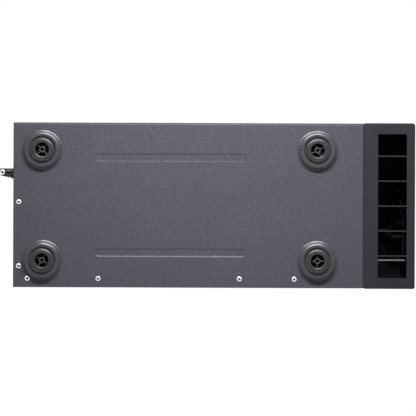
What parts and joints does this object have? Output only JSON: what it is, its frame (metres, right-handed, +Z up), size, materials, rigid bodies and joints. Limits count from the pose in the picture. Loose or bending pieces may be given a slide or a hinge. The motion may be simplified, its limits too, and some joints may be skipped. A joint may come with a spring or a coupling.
{
  "type": "server rack battery",
  "caption": "Floor-standing battery cabinet: folded steel case on round feet with a plastic front bezel, sealed blocks inside, and a fan, breaker, connectors and mains inlet at the back.",
  "frame": {"origin": "at floor level, under the middle of the whole outline", "axes": "+Z up, front bezel faces -Y, width along X"},
  "size_m": [0.191, 0.4796, 0.337],
  "materials": {
    "case_paint": "fine-textured powder coat, dark bluish grey",
    "bezel_plastic": "fine spark-eroded texture, dark grey",
    "window_smoke": "smoked, glossy",
    "pipe_clear": "clear moulding",
    "key_plastic": "satin",
    "board_green": "green solder resist",
    "ribbon_grey": "grey flat lead",
    "grommet_rubber": "black",
    "foot_cup_plastic": "satin, dark bluish grey",
    "foot_insert_rubber": "near black, smooth",
    "screw_zinc": "bright zinc plate",
    "inner_sheet": "zinc-plated sheet",
    "block_plastic": "black moulded casing",
    "pad_foam": "black foam",
    "lead_red": "red insulation",
    "lead_black": "black insulation",
    "sink_aluminium": "extruded, plain",
    "fan_plastic": "black moulding",
    "guard_chrome": "bright plated wire",
    "breaker_plastic": "black moulding",
    "lever_plastic": "light grey moulding",
    "socket_plastic": "black moulding",
    "contact_brass": "tinned brass",
    "reset_plastic": "red moulding",
    "clamp_plastic": "black glossy moulding"
  },
  "bodies": {
    "cabinet": {"ac_inlet": "socket_plastic", "battery_block_1": "block_plastic", "battery_block_10": "block_plastic", "battery_block_11": "block_plastic", "battery_block_12": "block_plastic", "battery_block_2": "block_plastic", "battery_block_3": "block_plastic", "battery_block_4": "block_plastic", "battery_block_5": "block_plastic", "battery_block_6": "block_plastic", "battery_block_7": "block_plastic", "battery_block_8": "block_plastic", "battery_block_9": "block_plastic", "bezel": "bezel_plastic", "bezel_stay": "inner_sheet", "black_leads": "lead_black", "breaker_body": "breaker_plastic", "case_shell": "case_paint", "charger_board": "board_green", "clamp_base": "clamp_plastic", "clamp_screw": "screw_zinc", "clamp_strap": "clamp_plastic", "dc_connectors": "socket_plastic", "divider": "inner_sheet", "earth_screw": "screw_zinc", "fan_frame": "fan_plastic", "fan_guard": "guard_chrome", "floor_screws": "screw_zinc", "foam_pads": "pad_foam", "foot_cup_1": "foot_cup_plastic", "foot_cup_2": "foot_cup_plastic", "foot_cup_3": "foot_cup_plastic", "foot_cup_4": "foot_cup_plastic", "foot_insert_1": "foot_insert_rubber", "foot_insert_2": "foot_insert_rubber", "foot_insert_3": "foot_insert_rubber", "foot_insert_4": "foot_insert_rubber", "foot_screws": "screw_zinc", "front_board": "board_green", "front_panel": "case_paint", "heat_sink": "sink_aluminium", "indicator_window": "window_smoke", "lead_grommet": "grommet_rubber", "light_pipe": "pipe_clear", "panel_screws": "screw_zinc", "rear_panel": "case_paint", "red_leads": "lead_red", "reset_body": "socket_plastic", "ribbon_lead": "ribbon_grey", "roof_screws": "screw_zinc", "shelf_1": "inner_sheet", "shelf_2": "inner_sheet", "side_cover": "case_paint", "socket_contacts": "contact_brass"},
    "fan": {"fan_rotor": "fan_plastic"},
    "lever": {"breaker_lever": "lever_plastic"},
    "power_key": {"power_button": "key_plastic"},
    "test_key": {"test_button": "key_plastic"},
    "reset_key": {"reset_button": "reset_plastic"}
  },
  "joints": [
    {"name": "fan_spin", "type": "hinge", "parent": "cabinet", "child": "fan", "pos_m": [-0.042, 0.21, 0.27], "axis": [0, 1, 0], "continuous": true},
    {"name": "lever_swing", "type": "hinge", "parent": "cabinet", "child": "lever", "pos_m": [0.048, 0.21715, 0.27], "axis": [-1, 0, 0], "range_deg": [0, 44]},
    {"name": "power_press", "type": "slide", "parent": "cabinet", "child": "power_key", "axis": [0, 1, 0], "range_m": [0, 0.0018], "stiffness_N_per_m": 400},
    {"name": "test_press", "type": "slide", "parent": "cabinet", "child": "test_key", "axis": [0, 1, 0], "range_m": [0, 0.0018], "stiffness_N_per_m": 400},
    {"name": "reset_press", "type": "slide", "parent": "cabinet", "child": "reset_key", "axis": [0, -1, 0], "range_m": [0, 0.0016], "stiffness_N_per_m": 400}
  ]
}
